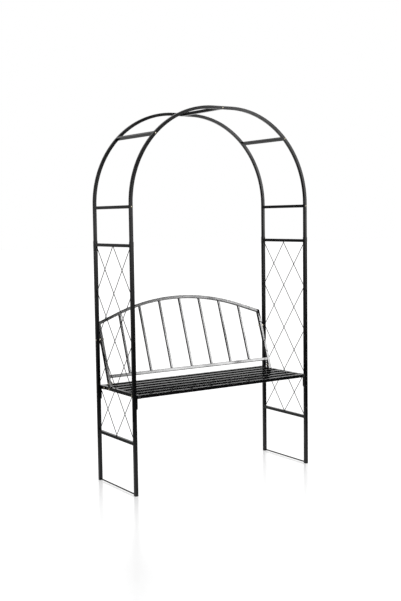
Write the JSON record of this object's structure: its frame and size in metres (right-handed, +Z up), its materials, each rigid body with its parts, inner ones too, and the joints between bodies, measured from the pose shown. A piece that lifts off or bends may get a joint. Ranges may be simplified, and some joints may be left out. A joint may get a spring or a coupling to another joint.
{
  "type": "arbour seat",
  "caption": "Rose arch of square steel tube with lattice sides, a slatted bench and a bowed, barred backrest.",
  "frame": {"origin": "on the ground at the middle of the four feet, under the crown of the arch", "axes": "+Z up, front towards -Y, +X to the right of a viewer who faces the seat"},
  "size_m": [1.1788, 0.489, 2.0505],
  "materials": {
    "powder_coat": "satin black powder coat",
    "zinc_plate": "bright zinc plate",
    "galvanised_steel": "dull zinc, out of sight inside the tubes",
    "black_plastic": "moulded, fine matt"
  },
  "bodies": {
    "root": {"arch_half_front_left": "powder_coat", "arch_half_front_right": "powder_coat", "arch_half_rear_left": "powder_coat", "arch_half_rear_right": "powder_coat", "backrest_bar_1": "powder_coat", "backrest_bar_2": "powder_coat", "backrest_bar_3": "powder_coat", "backrest_bar_4": "powder_coat", "backrest_bar_5": "powder_coat", "backrest_bar_6": "powder_coat", "backrest_bar_7": "powder_coat", "backrest_bottom_rail": "powder_coat", "backrest_foot_bolts": "zinc_plate", "backrest_foot_straps": "powder_coat", "backrest_nuts": "zinc_plate", "backrest_post_bolts": "zinc_plate", "backrest_spacers": "zinc_plate", "backrest_top_rail": "powder_coat", "backrest_upright_left": "powder_coat", "backrest_upright_right": "powder_coat", "crossbar_bolts": "zinc_plate", "crossbar_crown": "powder_coat", "crossbar_end_nuts": "zinc_plate", "crossbar_left_haunch": "powder_coat", "crossbar_left_shoulder": "powder_coat", "crossbar_right_haunch": "powder_coat", "crossbar_right_shoulder": "powder_coat", "crown_connectors": "galvanised_steel", "foot_caps": "black_plastic", "ground_bar_left": "powder_coat", "ground_bar_right": "powder_coat", "lattice_left_falling": "powder_coat", "lattice_left_rising": "powder_coat", "lattice_right_falling": "powder_coat", "lattice_right_rising": "powder_coat", "panel_rung_lower_left": "powder_coat", "panel_rung_lower_right": "powder_coat", "panel_rung_upper_left": "powder_coat", "panel_rung_upper_right": "powder_coat", "post_front_left": "powder_coat", "post_front_right": "powder_coat", "post_rear_left": "powder_coat", "post_rear_right": "powder_coat", "seat_bolts": "zinc_plate", "seat_bracket_front_left": "powder_coat", "seat_bracket_front_right": "powder_coat", "seat_bracket_rear_left": "powder_coat", "seat_bracket_rear_right": "powder_coat", "seat_end_plugs": "black_plastic", "seat_front_rail": "powder_coat", "seat_nuts": "zinc_plate", "seat_rear_rail": "powder_coat", "seat_side_rail_left": "powder_coat", "seat_side_rail_right": "powder_coat", "seat_slat_1": "powder_coat", "seat_slat_2": "powder_coat", "seat_slat_3": "powder_coat", "seat_slat_4": "powder_coat", "seat_slat_5": "powder_coat"}
  },
  "joints": []
}
